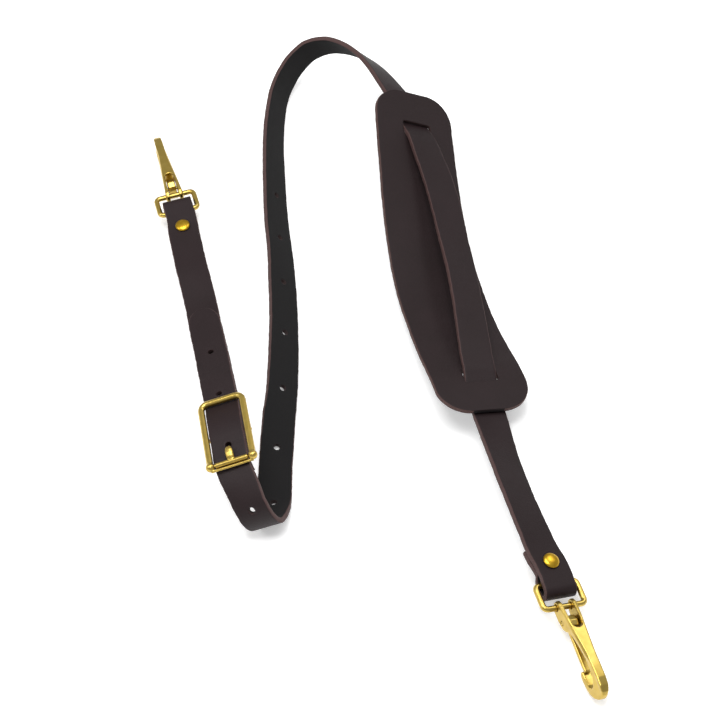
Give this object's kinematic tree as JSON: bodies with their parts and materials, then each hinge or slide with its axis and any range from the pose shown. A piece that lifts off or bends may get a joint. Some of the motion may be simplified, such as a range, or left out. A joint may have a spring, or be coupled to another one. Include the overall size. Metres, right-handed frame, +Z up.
{
  "type": "shoulder strap",
  "caption": "Adjustable leather shoulder strap with a brass slide buckle, a slotted shoulder pad threaded on it and a brass snap hook at each end, lying in a loose curve.",
  "frame": {"origin": "centre of the bounding box's bottom face, on the ground that the strap lies on", "axes": "+Z up from the ground, +Y along the longest extent towards the top bend, +X towards the shoulder pad's side"},
  "size_m": [0.2568, 0.471, 0.0436],
  "materials": {
    "strap_leather": "dark brown smooth grain, satin, with a paler cut edge",
    "pad_leather": "dark brown smooth grain, satin, with a paler cut edge",
    "brass": "polished solid brass with fine wear"
  },
  "bodies": {
    "strap": {"short_strap": "strap_leather", "long_strap": "strap_leather", "shoulder_pad": "pad_leather", "buckle_frame": "brass", "buckle_prong": "brass", "hook_a_rivet": "brass", "hook_b_rivet": "brass", "hook_a_loop": "brass", "hook_b_loop": "brass"},
    "hook_a": {"hook_a_body": "brass", "hook_a_pin": "brass"},
    "gate_a": {"hook_a_gate": "brass"},
    "hook_b": {"hook_b_body": "brass", "hook_b_pin": "brass"},
    "gate_b": {"hook_b_gate": "brass"}
  },
  "joints": [
    {"name": "hook_a_swing", "type": "hinge", "parent": "strap", "child": "hook_a", "pos_m": [-0.11178, 0.10793, 0.01204], "axis": [0.9571, 0.285, 0.0514], "range_deg": [-45, 75]},
    {"name": "gate_a_open", "type": "hinge", "parent": "hook_a", "child": "gate_a", "pos_m": [-0.11399, 0.11575, 0.00986], "axis": [0.9571, 0.285, 0.0514], "range_deg": [0, 9], "stiffness_Nm_per_rad": 0.3, "springref_deg": -11.46},
    {"name": "hook_b_swing", "type": "hinge", "parent": "strap", "child": "hook_b", "pos_m": [0.11062, -0.18457, 0.01195], "axis": [-0.9333, -0.2984, 0.1996], "range_deg": [-45, 75]},
    {"name": "gate_b_open", "type": "hinge", "parent": "hook_b", "child": "gate_b", "pos_m": [0.11267, -0.19243, 0.00977], "axis": [-0.9333, -0.2984, 0.1996], "range_deg": [0, 9], "stiffness_Nm_per_rad": 0.3, "springref_deg": -11.46}
  ]
}
